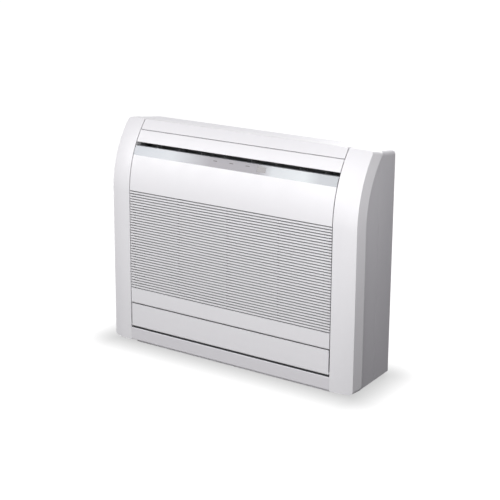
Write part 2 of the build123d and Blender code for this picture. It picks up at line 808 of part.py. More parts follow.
banks = {"right": list(VANE_X), "left": [-x for x in VANE_X]}
for side, places in banks.items():
    for number, x in enumerate(places, start=1):
        save(vane_form(x), f"{side}_vane_{number}")
    save(link_form(sorted(places)), f"{side}_vane_link")

pivot_holes = []
for x in [*VANE_X, *[-x for x in VANE_X]]:
    with BuildPart() as pivot_hole:
        with BuildSketch(vane_plane(x, -DUCT)):
            Circle(PIN_R + PIN_CLEARANCE)
        extrude(amount=VANE_TOP_PIN + 2 * DUCT)
    pivot_holes.append(pivot_hole.part)
seam_zone = skin_plate(500.0, HEIGHT + 20.0, -5.0, CAP_DEPTH + WALL, DUCT_HALF, PLATE_X + 1.0)
seam_zones = [seam_zone, mirror(seam_zone, about=Plane.YZ)]
with BuildPart() as upper_fan_casing:
    with BuildSketch(Plane.YZ.offset(-PLATE_X)):
        with BuildLine() as upper_scroll:
            Line((wall_line, 432.0), upper_nose)
            ThreePointArc(upper_nose, polar(UPPER_FAN, 56.0, 25), polar(UPPER_FAN, 61.5, 95))
            Line(polar(UPPER_FAN, 61.5, 95), upper_roof_end)
        trace(upper_scroll.line, line_width=DUCT)
        with Locations((wall_line, 410.0)):
            Rectangle(DUCT, 50.0)
    extrude(amount=2 * PLATE_X)
    add(pivot_holes, mode=Mode.SUBTRACT)
    add(seam_zones, mode=Mode.SUBTRACT)
save(upper_fan_casing.part, "upper_fan_casing")

lip_low = FRAME_TOP - 22.0
with BuildPart() as upper_duct_floor:
    with BuildSketch(Plane.YZ.offset(-DUCT_HALF)):
        with BuildLine() as floor_line:
            Polyline(tongue_front, tongue_tip, (-22.0, 486.0), tongue_foot, tongue_end)
        trace(floor_line.line, line_width=DUCT)
        with BuildLine():
            skin_edge(lip_low, FRAME_TOP, FRAME_N + WALL)
            skin_edge(lip_low, FRAME_TOP, FRAME_N + WALL + DUCT)
            Line(skin_point(lip_low, FRAME_N + WALL), skin_point(lip_low, FRAME_N + WALL + DUCT))
            Line(skin_point(FRAME_TOP, FRAME_N + WALL), skin_point(FRAME_TOP, FRAME_N + WALL + DUCT))
        make_face()
    extrude(amount=2 * DUCT_HALF)
    add(pivot_holes, mode=Mode.SUBTRACT)
save(upper_duct_floor.part, "upper_duct_floor")


# Lower fan chamber

lower_nose = polar(LOWER_FAN, 46.0, 35)
scroll_low = polar(LOWER_FAN, 51.5, -90)
with BuildPart() as lower_fan_casing:
    with BuildSketch(Plane.YZ.offset(-PLATE_X)):
        with BuildLine() as lower_scroll:
            Line((wall_line, 176.0), lower_nose)
            ThreePointArc(lower_nose, polar(LOWER_FAN, 49.0, -30), scroll_low)
            Line(scroll_low, (FRONT + CAP_DEPTH + WALL, scroll_low[1]))
        trace(lower_scroll.line, line_width=DUCT)
        with Locations((wall_line, 198.0)):
            Rectangle(DUCT, 50.0)
    extrude(amount=2 * PLATE_X)
save(lower_fan_casing.part, "lower_fan_casing")

floor_ends = (FRAME_FRONT + WALL, FRONT + CAP_DEPTH + WALL)
floor_levels = (scroll_low[1] - DUCT / 2, scroll_low[1] + DUCT / 2)
save(bar(-DUCT_HALF, DUCT_HALF, *floor_ends, *floor_levels), "lower_duct_floor")

lower_roof = wall_run(
    [
        (FRAME_FRONT + WALL, 116.5),
        (-62.0, 116.5),
        (-14.5, 114.5),
        (-14.5, PAN_FLOOR - DUCT / 2),
        (-44.0, PAN_FLOOR - DUCT / 2),
    ],
    DUCT_HALF,
)
save(lower_roof, "lower_duct_roof")


# Drain pan and spigot

with BuildPart() as drain_pan:
    with BuildSketch(Plane.XY.offset(PAN_FLOOR)):
        with Locations((0, (PAN_FRONT + PAN_BACK) / 2)):
            Rectangle(2 * PAN_X, PAN_BACK - PAN_FRONT)
    extrude(amount=PAN_DEPTH)
    offset(amount=-2.0, openings=drain_pan.faces().sort_by(Axis.Z)[-1])
    with BuildSketch(Plane.XY.offset(PAN_FLOOR + 2.0)):
        with GridLocations(120.0, 1.0, 5, 1):
            with Locations((0, (COIL_FRONT + COIL_BACK) / 2)):
                Rectangle(4.0, COIL_BACK - COIL_FRONT)
    extrude(amount=COIL_LOW - PAN_FLOOR - 2.0)
    with BuildSketch(Plane.XY.offset(PAN_FLOOR)):
        with Locations((-PAN_X - 18.0, SPIGOT_Y)):
            Rectangle(40.0, 26.0)
    extrude(amount=PAN_DEPTH)
    with BuildSketch(Plane.XY.offset(PAN_FLOOR + 2.0)):
        with Locations((-PAN_X - 17.0, SPIGOT_Y)):
            Rectangle(38.0, 22.0)
    extrude(amount=PAN_DEPTH, mode=Mode.SUBTRACT)
    with BuildSketch(Plane.XY.offset(PAN_FLOOR)):
        with Locations((SPIGOT_X, SPIGOT_Y)):
            Circle(SPIGOT_BORE)
    extrude(amount=2.0, mode=Mode.SUBTRACT)
save(drain_pan.part, "drain_pan")
with BuildPart() as drain_spigot:
    with BuildSketch(Plane.XY.offset(PAN_FLOOR)):
        with Locations((SPIGOT_X, SPIGOT_Y)):
            Circle(SPIGOT_R + 2.0)
            Circle(SPIGOT_BORE, mode=Mode.SUBTRACT)
    extrude(amount=-3.0)
    with BuildSketch(Plane.XY.offset(PAN_FLOOR - 3.0)):
        with Locations((SPIGOT_X, SPIGOT_Y)):
            Circle(SPIGOT_R)
            Circle(SPIGOT_BORE, mode=Mode.SUBTRACT)
    extrude(amount=-SPIGOT_LENGTH)
save(drain_spigot.part, "drain_spigot")


# Heat exchanger: fin pack, tube bends, headers and unions

save(bar(-COIL_X, COIL_X, COIL_FRONT, COIL_BACK, COIL_LOW, COIL_HIGH), "fin_pack")

coil_ends = [
    bar(x, x + END_SHEET, COIL_FRONT, COIL_BACK, COIL_LOW, COIL_HIGH) for x in (-COIL_X - END_SHEET, COIL_X)
]
row_pitch = (COIL_HIGH - COIL_LOW) / TUBE_ROWS
with BuildPart() as coil_end_sheets:
    add(coil_ends)
save(coil_end_sheets.part, "coil_end_sheets")

with BuildPart() as return_bends:
    for row in range(TUBE_ROWS - 1):
        side = 1 if row % 2 == 0 else -1
        start_x = side * (COIL_X + END_SHEET)
        low_z = COIL_LOW + row_pitch * (row + 0.5)
        with BuildSketch(Plane.YZ.offset(start_x)):
            with Locations((COIL_MID, low_z)):
                Circle(TUBE_R)
        revolve(axis=Axis((start_x, COIL_MID, low_z + row_pitch / 2), (0, -side, 0)), revolution_arc=180)
save(return_bends.part, "return_bends")


def pipe(route, radius, bend):
    """Round pipe along straight runs with bends between them."""
    with BuildPart() as tube:
        with BuildLine() as path:
            FilletPolyline(*route, radius=bend)
        with BuildSketch(Plane(origin=path.line @ 0, z_dir=path.line % 0)):
            Circle(radius)
        sweep()
    return tube.part


def union_form(x, y, top, radius, hex_af):
    """Flare union that points down: hexagon, threaded end and cone."""
    with BuildPart() as union:
        with BuildSketch(Plane.XY.offset(top)):
            with Locations((x, y)):
                RegularPolygon(hex_af / 2, 6, major_radius=False)
        extrude(amount=-UNION_HEX)
        with BuildSketch(Plane.XY.offset(top - UNION_HEX)):
            with Locations((x, y)):
                Circle(radius)
        extrude(amount=-UNION_THREAD)
        chamfer(union.faces().sort_by(Axis.Z)[0].edges(), 1.5)
    return union.part


# The gas and liquid lines leave the coil on the left and turn down to the unions
coil_end = -COIL_X - END_SHEET
top_row_z = COIL_HIGH - row_pitch / 2
bottom_row_z = COIL_LOW + row_pitch / 2
gas_route = [
    (coil_end, COIL_MID, top_row_z),
    (HEADER_X, COIL_MID, top_row_z),
    (HEADER_X, COIL_MID, GAS_CROSS_Z),
    (UNION_X, COIL_MID, GAS_CROSS_Z),
    (UNION_X, GAS_UNION_Y, GAS_CROSS_Z),
    (UNION_X, GAS_UNION_Y, UNION_TOP),
]
liquid_route = [
    (coil_end, COIL_MID, bottom_row_z),
    (UNION_X, COIL_MID, bottom_row_z),
    (UNION_X, LIQUID_UNION_Y, bottom_row_z),
    (UNION_X, LIQUID_UNION_Y, UNION_TOP),
]
save(pipe(gas_route, GAS_R, 12.0), "gas_line")
save(pipe(liquid_route, LIQUID_R, 9.0), "liquid_line")
save(union_form(UNION_X, GAS_UNION_Y, UNION_TOP, GAS_THREAD_R, 19.0), "gas_union")
save(union_form(UNION_X, LIQUID_UNION_Y, UNION_TOP, LIQUID_THREAD_R, 14.0), "liquid_union")


# Cross-flow fans, their bearings and motors

def fan_form(centre, radius, blade_length):
    """Cross-flow rotor: curved blades on four discs, with a stub shaft at each end."""
    inner = radius - blade_length
    middle = inner + blade_length / 2
    blade_outline = [
        (inner, -BLADE_LEAN),
        (middle, BLADE_LEAN * 0.55),
        (radius, 0.0),
        (radius, 1.0),
        (middle, BLADE_LEAN * 0.55 + 1.4),
        (inner, 1.0 - BLADE_LEAN),
    ]
    with BuildPart() as fan:
        with BuildSketch(Plane(origin=(-FAN_X, *centre), x_dir=(0, 1, 0), z_dir=(1, 0, 0))):
            with PolarLocations(0, BLADES):
                Polygon(*blade_outline, align=None)
        extrude(amount=2 * FAN_X)
        for x in (-FAN_X, -FAN_X / 3, FAN_X / 3, FAN_X - DISC):
            with BuildSketch(Plane.YZ.offset(x)):
                with Locations(centre):
                    Circle(radius - 0.5)
                    if abs(x) < FAN_X / 2:
                        Circle(inner - 2.0, mode=Mode.SUBTRACT)
            extrude(amount=DISC)
        with BuildSketch(Plane.YZ.offset(-FAN_X - STUB)):
            with Locations(centre):
                Circle(SHAFT_R)
        extrude(amount=STUB)
        with BuildSketch(Plane.YZ.offset(FAN_X)):
            with Locations(centre):
                Circle(SHAFT_R)
        extrude(amount=STUB + 12.0)
    return fan.part


def motor_form(centre, radius):
    """Fan motor: drum with a stepped nose, a blind shaft bore and a flange on the end plate."""
    with BuildPart() as motor:
        with BuildSketch(Plane.YZ.offset(PLATE_X + PLATE)):
            with Locations(centre):
                Circle(radius)
        extrude(amount=MOTOR_LENGTH)
        fillet(motor.edges().filter_by(GeomType.CIRCLE).sort_by(Axis.X)[-1], 4.0)
        with BuildSketch(Plane.YZ.offset(PLATE_X + PLATE)):
            with Locations(centre):
                with PolarLocations(radius + 4.0, 3, start_angle=90):
                    Circle(6.0)
        extrude(amount=4.0)
        with BuildSketch(Plane.YZ.offset(PLATE_X + PLATE)):
            with Locations(centre):
                Circle(SHAFT_R + PIN_CLEARANCE)
        extrude(amount=STUB + 6.0, mode=Mode.SUBTRACT)
    return motor.part


for name, centre, radius, motor_r in (
    ("upper", UPPER_FAN, UPPER_FAN_R, 36.0),
    ("lower", LOWER_FAN, LOWER_FAN_R, 32.0),
):
    save(fan_form(centre, radius, BLADE), f"{name}_fan")
    save(motor_form(centre, motor_r), f"{name}_fan_motor")

with BuildPart() as fan_bearings:
    for centre in (UPPER_FAN, LOWER_FAN):
        with BuildSketch(Plane.YZ.offset(-PLATE_X - PLATE - 2.0)):
            with Locations(centre):
                Circle(BEARING_R + 4.0)
                Circle(SHAFT_R + PIN_CLEARANCE, mode=Mode.SUBTRACT)
        extrude(amount=2.0)
        with BuildSketch(Plane.YZ.offset(-PLATE_X - PLATE)):
            with Locations(centre):
                Circle(BEARING_R)
                Circle(SHAFT_R + PIN_CLEARANCE, mode=Mode.SUBTRACT)
        extrude(amount=PLATE + 4.0)
save(fan_bearings.part, "fan_bearings")


# Air filters: a frame with crossbars and a fine net

for side in (-1, 1):
    centre_x = side * (FILTER_W / 2 + 2.0)
    with BuildPart() as air_filter:
        with BuildSketch(Plane.XZ.offset(-FRAME_FRONT)):
            with Locations((centre_x, (FILTER_LOW + FILTER_HIGH) / 2)):
                Rectangle(FILTER_W, FILTER_HIGH - FILTER_LOW)
                with GridLocations(FILTER_CELL_X, FILTER_CELL_Z, 3, 4):
                    Rectangle(FILTER_CELL_X - 3.0, FILTER_CELL_Z - 3.0, mode=Mode.SUBTRACT)
        extrude(amount=FILTER_THICK)
        with BuildSketch(Plane.XZ.offset(-FRAME_FRONT + 1.2)):
            with Locations((centre_x, (FILTER_LOW + FILTER_HIGH) / 2)):
                Rectangle(FILTER_W - 4.0, FILTER_HIGH - FILTER_LOW - 4.0)
        extrude(amount=0.6)
    save(air_filter.part, "right_air_filter" if side > 0 else "left_air_filter")


# Electrical parts in the right compartment and behind the display strip

with BuildPart() as control_box:
    with BuildSketch(Plane.YZ.offset(BOX_X0)):
        with Locations(((BOX_FRONT + BOX_BACK) / 2, (BOX_LOW + BOX_HIGH) / 2)):
            Rectangle(BOX_BACK - BOX_FRONT, BOX_HIGH - BOX_LOW)
    extrude(amount=BOX_DEPTH)
    fillet(control_box.edges().filter_by(Axis.X), 4.0)
    offset(amount=-2.0, openings=control_box.faces().sort_by(Axis.X)[-1])
save(control_box.part, "control_box")
board = bar(BOX_X0 + 2.0, BOX_X0 + 3.6, BOX_FRONT + 6.0, BOX_BACK - 6.0, BOX_LOW + 6.0, BOX_HIGH - 6.0)
capacitor = rod((BOX_FRONT + BOX_BACK) / 2, BOX_HIGH - 40.0, 9.0, BOX_X0 + 3.6, BOX_X0 + 28.0)
with BuildPart() as circuit_board:
    add(board)
    add(capacitor)
    add(bar(BOX_X0 + 3.6, BOX_X0 + 16.0, BOX_FRONT + 20.0, BOX_FRONT + 50.0, BOX_LOW + 30.0, BOX_LOW + 62.0))
    add(bar(BOX_X0 + 3.6, BOX_X0 + 9.0, BOX_BACK - 46.0, BOX_BACK - 16.0, BOX_LOW + 60.0, BOX_LOW + 100.0))
save(circuit_board.part, "circuit_board")

with BuildPart() as terminal_block:
    add(bar(BOX_X0, BOX_X0 + 12.0, TERMINAL_Y - 30.0, TERMINAL_Y + 30.0, TERMINAL_Z, TERMINAL_Z + 22.0))
    with BuildSketch(Plane.YZ.offset(BOX_X0 + 12.0)):
        with Locations((TERMINAL_Y, TERMINAL_Z + 11.0)):
            with GridLocations(14.0, 1.0, 4, 1):
                Rectangle(10.0, 14.0)
    extrude(amount=-5.0, mode=Mode.SUBTRACT)
save(terminal_block.part, "terminal_block")

with BuildPart() as display_board:
    add(skin_plate(STRIP_BOTTOM + 3.0, FRAME_TOP - 2.0, FRAME_N - 3.6, FRAME_N - 2.0, -60.0, 106.0))
    for x in (*LAMP_X, RECEIVER_X):
        add(stud_square_to_skin(STRIP_BOTTOM + 11.0, x, 6.0, 6.0, FRAME_N - 2.0, FRAME_N))
save(display_board.part, "display_board")


# Controls behind the grille, on the right of the frame

with BuildPart() as control_panel:
    add(bar(CONTROL_X - 11.0, CONTROL_X + 11.0, PANEL_FACE, FRAME_FRONT, 330.0, 410.0))
    with BuildSketch(Plane.XZ.offset(-FRAME_FRONT)):
        with Locations((CONTROL_X, BUTTON_Z)):
            Circle(BUTTON_R + 0.4)
        with Locations((CONTROL_X, SWITCH_Z)):
            Rectangle(6.0, 16.0)
    extrude(amount=4.0, mode=Mode.SUBTRACT)
save(control_panel.part, "control_panel")
with BuildPart() as manual_button:
    with BuildSketch(Plane.XZ.offset(-FRAME_FRONT + 1.6)):
        with Locations((CONTROL_X, BUTTON_Z)):
            Circle(BUTTON_R)
    extrude(amount=4.2)
    fillet(manual_button.edges().sort_by(Axis.Y)[0], 0.6)
save(manual_button.part, "manual_button")
with BuildPart() as outlet_switch:
    with BuildSketch(Plane.XZ.offset(-FRAME_FRONT + 0.2)):
        with Locations((CONTROL_X, SWITCH_Z)):
            Rectangle(5.2, 9.0)
    extrude(amount=5.4)
    fillet(outlet_switch.edges().filter_by(Axis.X).group_by(Axis.Y)[0], 0.8)
save(outlet_switch.part, "outlet_switch")


# Hinge drives: stepper motors outside the cover's seam walls

def stepper_form(pivot, x0):
    """Small geared stepper motor, flat against a cover's seam wall."""
    with BuildPart() as stepper:
        with BuildSketch(Plane.YZ.offset(x0)):
            with Locations(pivot):
                Circle(STEPPER_R)
        extrude(amount=STEPPER_LENGTH)
    return stepper.part


save(stepper_form(skin_point(LOUVRE_PIVOT_SKIN, STEPPER_DEPTH), SEAM_X + WALL), "louvre_motor")
save(stepper_form((FRONT + STEPPER_DEPTH, FLAP_PIVOT[1]), SEAM_X + WALL), "flap_motor")


# Screws

with BuildPart() as base_screws:
    with BuildSketch(Plane.XY.offset(BODY_BOTTOM - 1.5)):
        with GridLocations(520.0, 120.0, 2, 2):
            Circle(4.0)
    extrude(amount=-2.0)
save(base_screws.part, "base_screws")
with BuildPart() as frame_screws:
    with BuildSketch(Plane.XZ.offset(-FRAME_FRONT)):
        with Locations((0, (FILTER_LOW + GRILLE_BOTTOM) / 2)):
            with GridLocations(440.0, 1.0, 2, 1):
                Circle(4.0)
    extrude(amount=2.2)
save(frame_screws.part, "frame_screws")
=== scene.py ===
from math import cos, radians, sin

import bpy
from mathutils import Matrix, Vector


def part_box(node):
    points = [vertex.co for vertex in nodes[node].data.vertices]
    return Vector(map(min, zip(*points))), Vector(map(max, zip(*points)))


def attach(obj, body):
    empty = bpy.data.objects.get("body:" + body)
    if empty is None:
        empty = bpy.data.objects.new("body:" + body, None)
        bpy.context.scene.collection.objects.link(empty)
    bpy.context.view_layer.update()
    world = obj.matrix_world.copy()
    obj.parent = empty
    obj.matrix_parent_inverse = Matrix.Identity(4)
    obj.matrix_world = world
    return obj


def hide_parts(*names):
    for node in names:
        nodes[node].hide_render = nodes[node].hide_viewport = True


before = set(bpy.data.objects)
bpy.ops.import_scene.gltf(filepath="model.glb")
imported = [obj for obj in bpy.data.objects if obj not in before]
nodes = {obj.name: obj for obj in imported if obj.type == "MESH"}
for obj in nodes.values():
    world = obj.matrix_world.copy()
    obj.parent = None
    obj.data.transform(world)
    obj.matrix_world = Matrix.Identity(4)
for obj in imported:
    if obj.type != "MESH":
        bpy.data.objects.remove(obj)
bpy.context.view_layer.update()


# The cabinet: the rear base and the low tray under it, moulded in white polystyrene with a fine
# spark texture and a satin sheen. Screws hold the tray to the base. Two groups serve every
# moulding: one gives its grain as a height, the other the faint mottling that handling leaves.
CABINET_WHITE = (0.765, 0.76, 0.785)
CABINET_GRAIN = 700.0
NOISE_LOW, NOISE_HIGH = 0.3, 0.7
POLISHED, RUBBED = 0.04, 0.05
GRAIN_STRENGTH = 0.35


def shader_group(name, inputs, outputs):
    """A node group with number sockets, its input node and its output node."""
    group = bpy.data.node_groups.new(name, "ShaderNodeTree")
    sockets = group.interface
    for socket, default in inputs.items():
        made = sockets.new_socket(name=socket, in_out="INPUT", socket_type="NodeSocketFloat")
        made.default_value = default
    for socket in outputs:
        sockets.new_socket(name=socket, in_out="OUTPUT", socket_type="NodeSocketFloat")
    return group, group.nodes.new("NodeGroupInput"), group.nodes.new("NodeGroupOutput")


def join(tree, *pairs):
    """Links each source to its target."""
    for source, target in pairs:
        tree.links.new(source, target)


def own_place(tree):
    """The piece's own coordinates, in metres."""
    return tree.nodes.new("ShaderNodeTexCoord").outputs["Object"]


def noise(tree, coords, scale, detail=3.0):
    """A cloudy texture, with its scale in cells per metre."""
    texture = tree.nodes.new("ShaderNodeTexNoise")
    texture.inputs["Scale"].default_value = scale
    texture.inputs["Detail"].default_value = detail
    join(tree, (coords, texture.inputs["Vector"]))
    return texture.outputs["Fac"]


def spread(tree, value, low, high):
    """Maps a texture's middle range onto low to high."""
    step = tree.nodes.new("ShaderNodeMapRange")
    step.inputs["From Min"].default_value = NOISE_LOW
    step.inputs["From Max"].default_value = NOISE_HIGH
    step.inputs["To Min"].default_value = low
    step.inputs["To Max"].default_value = high
    join(tree, (value, step.inputs["Value"]))
    return step.outputs["Result"]


moulding_grain, grain_in, grain_out = shader_group(
    "moulding_grain", {"Scale": 900.0, "Waviness": 0.35}, ["Height"]
)
coords = own_place(moulding_grain)
broad = noise(moulding_grain, coords, scale=9.0, detail=1.0)
fine = noise(moulding_grain, coords, scale=900.0, detail=2.0)
relief = moulding_grain.nodes.new("ShaderNodeMath")
relief.operation = "MULTIPLY_ADD"
join(
    moulding_grain,
    (grain_in.outputs["Scale"], fine.node.inputs["Scale"]),
    (broad, relief.inputs[0]),
    (grain_in.outputs["Waviness"], relief.inputs[1]),
    (fine, relief.inputs[2]),
    (relief.outputs["Value"], grain_out.inputs["Height"]),
)

handling, handling_in, handling_out = shader_group("handling", {"Scale": 26.0}, ["Mask"])
smudge = noise(handling, own_place(handling), scale=26.0, detail=5.0)
smudge.node.inputs["Roughness"].default_value = 0.6
join(
    handling,
    (handling_in.outputs["Scale"], smudge.node.inputs["Scale"]),
    (spread(handling, smudge, 0.0, 1.0), handling_out.inputs["Mask"]),
)


def shell(name, roughness, metallic=0.0):
    """A material with a Principled shader and nothing linked yet."""
    material = bpy.data.materials.new(name)
    material.use_nodes = True
    shader = material.node_tree.nodes["Principled BSDF"]
    shader.inputs["Roughness"].default_value = roughness
    shader.inputs["Metallic"].default_value = metallic
    return material, material.node_tree, shader


def two_tone(tree, mask, first, second):
    """Blends from the first colour to the second as the mask rises."""
    blend = tree.nodes.new("ShaderNodeMix")
    blend.data_type = "RGBA"
    blend.inputs["A"].default_value = (*first, 1.0)
    blend.inputs["B"].default_value = (*second, 1.0)
    join(tree, (mask, blend.inputs["Factor"]))
    return blend.outputs["Result"]


def tint(tree, shader, mask, first, second):
    """Colours the surface in two tones."""
    join(tree, (two_tone(tree, mask, first, second), shader.inputs["Base Color"]))


def gloss(tree, shader, mask, smooth, rough):
    """Varies the surface from smooth to rough as the mask rises."""
    join(tree, (spread(tree, mask, smooth, rough), shader.inputs["Roughness"]))


def raise_up(tree, shader, height, distance, strength):
    """Lets a height show as relief."""
    bump = tree.nodes.new("ShaderNodeBump")
    bump.inputs["Distance"].default_value = distance
    bump.inputs["Strength"].default_value = strength
    join(tree, (height, bump.inputs["Height"]), (bump.outputs["Normal"], shader.inputs["Normal"]))


def moulded(name, colour, roughness, grain=900.0, depth=0.00005, shade=0.985, metallic=0.0):
    """Injection-moulded plastic: two close tones, uneven gloss and a fine grain."""
    material, tree, shader = shell(name, roughness, metallic)
    hands = tree.nodes.new("ShaderNodeGroup")
    hands.node_tree = handling
    skin = tree.nodes.new("ShaderNodeGroup")
    skin.node_tree = moulding_grain
    skin.inputs["Scale"].default_value = grain
    mask = hands.outputs["Mask"]
    tint(tree, shader, mask, colour, tuple(shade * part for part in colour))
    gloss(tree, shader, mask, roughness - POLISHED, roughness + RUBBED)
    raise_up(tree, shader, skin.outputs["Height"], depth, GRAIN_STRENGTH)
    return material


def dress(material, *names):
    """Puts a material on the named nodes."""
    for name in names:
        node = nodes[name]
        if not node.material_slots:
            node.data.materials.append(material)
        for slot in node.material_slots:
            slot.link = "OBJECT"
            slot.material = material


cabinet_white = moulded("cabinet_white", CABINET_WHITE, roughness=0.5, grain=CABINET_GRAIN)
dress(cabinet_white, "rear_base", "base_foot")


# The chassis plates, the electrical box and the screws: zinc-coated sheet steel that shows the
# coating's spangle. The plates are screwed to the rear base and carry the rotors and motors.
ZINC_BRIGHT = (0.60, 0.62, 0.64)
ZINC_DULL = (0.44, 0.46, 0.48)
zinc_steel, tree, shader = shell("zinc_steel", roughness=0.38, metallic=0.85)
spangle = tree.nodes.new("ShaderNodeTexVoronoi")
spangle.inputs["Scale"].default_value = 110.0
join(tree, (own_place(tree), spangle.inputs["Vector"]))
tint(tree, shader, spangle.outputs["Distance"], ZINC_BRIGHT, ZINC_DULL)
gloss(tree, shader, spangle.outputs["Distance"], smooth=0.3, rough=0.5)
dress(zinc_steel, "left_end_plate", "right_end_plate", "control_box")
dress(zinc_steel, "base_screws", "frame_screws")


# The heat exchanger: thin aluminium fins pressed over copper hairpins between two end sheets,
# hung on the chassis plates. The fins stand inside the solid block that they replace.
FIN_STEP = 0.002
FIN_THICK = 0.0003
FIN_BRIGHT = (0.62, 0.66, 0.70)
FIN_DULL = (0.52, 0.57, 0.62)
fin_aluminium, tree, shader = shell("fin_aluminium", roughness=0.34, metallic=0.9)
coords = own_place(tree)
oxide = noise(tree, coords, scale=60.0)
tint(tree, shader, oxide, FIN_BRIGHT, FIN_DULL)
gloss(tree, shader, oxide, smooth=0.3, rough=0.45)
raise_up(tree, shader, noise(tree, coords, scale=400.0), distance=0.0001, strength=0.3)
dress(fin_aluminium, "coil_end_sheets")

block_low, block_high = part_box("fin_pack")
block_size = [high - low for low, high in zip(block_low, block_high)]
block_middle = [(low + high) / 2 for low, high in zip(block_low, block_high)]
fin_count = int(block_size[0] / FIN_STEP)
fin_values = {
    "Step": ("NodeSocketFloat", FIN_STEP),
    "Count": ("NodeSocketInt", fin_count),
    "Start": (
        "NodeSocketVector",
        (-FIN_STEP * (fin_count - 1) / 2, block_middle[1], block_middle[2]),
    ),
    "Size": ("NodeSocketVector", (FIN_THICK, block_size[1], block_size[2])),
}
fin_tree = bpy.data.node_groups.new("fins", "GeometryNodeTree")
fin_tree.interface.new_socket(
    name="Geometry", in_out="OUTPUT", socket_type="NodeSocketGeometry"
)
seed = bpy.data.objects.new("fin_seed", bpy.data.meshes.new("fin_seed"))
bpy.context.scene.collection.objects.link(seed)
growth = seed.modifiers.new("grow_fins", "NODES")
growth.node_group = fin_tree
for name, (kind, value) in fin_values.items():
    socket = fin_tree.interface.new_socket(name=name, in_out="INPUT", socket_type=kind)
    socket.default_value = value
    growth[socket.identifier] = value
fins_in = fin_tree.nodes.new("NodeGroupInput")
fins_out = fin_tree.nodes.new("NodeGroupOutput")
row = fin_tree.nodes.new("GeometryNodeMeshLine")
offset = fin_tree.nodes.new("ShaderNodeCombineXYZ")
sheet = fin_tree.nodes.new("GeometryNodeMeshCube")
placed = fin_tree.nodes.new("GeometryNodeInstanceOnPoints")
real = fin_tree.nodes.new("GeometryNodeRealizeInstances")
painted = fin_tree.nodes.new("GeometryNodeSetMaterial")
painted.inputs["Material"].default_value = fin_aluminium
join(
    fin_tree,
    (fins_in.outputs["Step"], offset.inputs["X"]),
    (fins_in.outputs["Count"], row.inputs["Count"]),
    (fins_in.outputs["Start"], row.inputs["Start Location"]),
    (offset.outputs["Vector"], row.inputs["Offset"]),
    (fins_in.outputs["Size"], sheet.inputs["Size"]),
    (row.outputs["Mesh"], placed.inputs["Points"]),
    (sheet.outputs["Mesh"], placed.inputs["Instance"]),
    (placed.outputs["Instances"], real.inputs["Geometry"]),
    (real.outputs["Geometry"], painted.inputs["Geometry"]),
    (painted.outputs["Geometry"], fins_out.inputs["Geometry"]),
)
grown = seed.evaluated_get(bpy.context.evaluated_depsgraph_get())
fin_mesh = bpy.data.meshes.new_from_object(grown)
bpy.data.objects.remove(seed)
fin_mesh.name = "coil_fins"
coil_fins = bpy.data.objects.new("coil_fins", fin_mesh)
bpy.context.scene.collection.objects.link(coil_fins)
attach(coil_fins, "cabinet")
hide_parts("fin_pack")


# The refrigerant lines and the coil's return bends: drawn copper tube, a little tarnished. The
# bends are brazed on, and each line ends in a turned brass flare union inside the left end.
COPPER_BRIGHT, COPPER_TARNISHED = (0.76, 0.38, 0.24), (0.42, 0.20, 0.13)
BRASS_BRIGHT, BRASS_DULL = (0.72, 0.55, 0.24), (0.56, 0.41, 0.17)
copper, tree, shader = shell("copper", roughness=0.3, metallic=1.0)
tarnish = noise(tree, own_place(tree), scale=45.0, detail=6.0)
tint(tree, shader, spread(tree, tarnish, 0.0, 1.0), COPPER_BRIGHT, COPPER_TARNISHED)
gloss(tree, shader, tarnish, smooth=0.22, rough=0.45)
dress(copper, "gas_line", "liquid_line", "return_bends")
brass, tree, shader = shell("brass", roughness=0.28, metallic=1.0)
turning = noise(tree, own_place(tree), scale=300.0)
tint(tree, shader, turning, BRASS_BRIGHT, BRASS_DULL)
gloss(tree, shader, turning, smooth=0.2, rough=0.36)
dress(brass, "gas_union", "liquid_union")


# The air ducts, rotors, vanes and drain pan: mid-grey moulded polystyrene with a matt face. The
# ducts are screwed between the chassis plates, and the vanes clip onto their link bars.
DUCT_GREY = (0.22, 0.221, 0.23)
duct_grey = moulded("duct_grey", DUCT_GREY, roughness=0.55, grain=500.0, shade=0.8)
dress(duct_grey, "upper_fan_casing", "upper_duct_floor", "upper_fan")
dress(duct_grey, "lower_fan_casing", "lower_duct_floor", "lower_duct_roof", "lower_fan")
dress(duct_grey, "drain_pan", "drain_spigot")
for side in ("left", "right"):
    vanes = [f"{side}_vane_{number}" for number in range(1, 5)]
    dress(duct_grey, f"{side}_vane_link", *vanes)


# The motors: drawn steel drums under dark lacquer, screwed to the chassis plates. The rotors'
# far ends run in bearings held in black rubber.
MOTOR_LACQUER = (0.14, 0.145, 0.155)
RUBBER_BLACK = (0.02, 0.02, 0.02)
motor_case = moulded("motor_case", MOTOR_LACQUER, roughness=0.4, grain=300.0, metallic=0.6)
dress(motor_case, "upper_fan_motor", "lower_fan_motor", "louvre_motor", "flap_motor")
bearing_rubber = moulded("bearing_rubber", RUBBER_BLACK, roughness=0.75, grain=400.0)
dress(bearing_rubber, "fan_bearings")


# The boards: glass-fibre laminate under green solder resist. One is screwed into the electrical
# box, the other clips into the housing behind the display strip.
RESIST_GREEN = (0.02, 0.12, 0.045)
board_green = moulded("board_green", RESIST_GREEN, roughness=0.35, grain=1500.0, shade=0.75)
dress(board_green, "circuit_board", "display_board")


# The push button, the slide switch and the terminal block: off-white moulded nylon. Button and
# switch run in a grey plate behind the door, dark enough not to show through the slots.
NYLON_WHITE = (0.60, 0.60, 0.60)
PLATE_GREY = (0.17, 0.172, 0.18)
CONTROL_GRAIN = 1200.0
control_nylon = moulded("control_plastic", NYLON_WHITE, roughness=0.45, grain=CONTROL_GRAIN)
dress(control_nylon, "manual_button", "outlet_switch", "terminal_block")
plate_grey = moulded("plate_grey", PLATE_GREY, roughness=0.5, grain=CONTROL_GRAIN)
dress(plate_grey, "control_panel")


